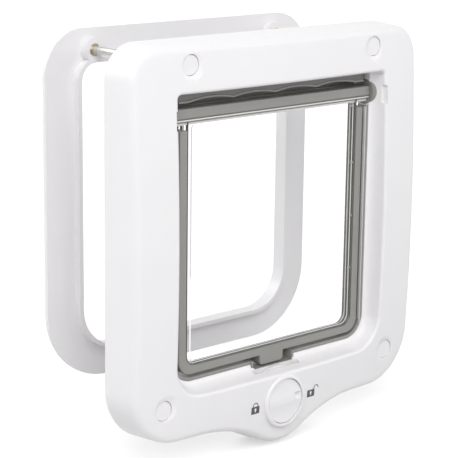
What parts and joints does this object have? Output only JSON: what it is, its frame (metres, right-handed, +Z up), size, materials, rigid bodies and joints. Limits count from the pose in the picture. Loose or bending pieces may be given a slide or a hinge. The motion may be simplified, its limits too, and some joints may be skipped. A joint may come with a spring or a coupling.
{
  "type": "cat flap",
  "caption": "Pet door for a door leaf: crowned inner frame, clear swinging flap in a U-shaped surround with magnetic tab, turn-dial lock and slim outer frame.",
  "frame": {"origin": "middle of the flap opening, in the plane where the inner frame meets the door leaf", "axes": "+X to the right as seen from the room, +Y through the door to the outside, +Z up"},
  "size_m": [0.2, 0.0864, 0.2153],
  "materials": {
    "white_plastic": "moulded, satin",
    "grey_plastic": "moulded, satin",
    "clear_plastic": "clear, polished",
    "steel": "zinc plated",
    "brass": "knurled",
    "magnet": "sintered ferrite"
  },
  "bodies": {
    "frame": {"front_frame": "white_plastic", "rear_frame": "white_plastic", "screw_cap_top_left": "white_plastic", "screw_cap_top_right": "white_plastic", "screw_cap_low_left": "white_plastic", "screw_cap_low_right": "white_plastic", "liner": "grey_plastic", "hinge_housing": "grey_plastic", "hinge_bush_left": "grey_plastic", "hinge_bush_right": "grey_plastic", "hinge_pin_left": "steel", "hinge_pin_right": "steel", "through_screw_left": "steel", "through_screw_right": "steel", "door_screw_left": "steel", "door_screw_right": "steel", "threaded_insert_left": "brass", "threaded_insert_right": "brass", "threshold_magnet": "magnet"},
    "flap": {"hinge_rail": "grey_plastic", "flap_pane": "clear_plastic", "flap_surround": "grey_plastic", "flap_magnet": "magnet"},
    "lock": {"lock_knob": "white_plastic", "lock_disc": "white_plastic", "lock_screw": "steel"}
  },
  "joints": [
    {"name": "flap_swing", "type": "hinge", "parent": "frame", "child": "flap", "pos_m": [0, -0.0096, 0.064], "axis": [1, 0, 0], "range_deg": [-80, 80]},
    {"name": "lock_turn", "type": "hinge", "parent": "frame", "child": "lock", "pos_m": [0, -0.012, -0.09085], "axis": [0, 1, 0], "range_deg": [0, 180]}
  ]
}
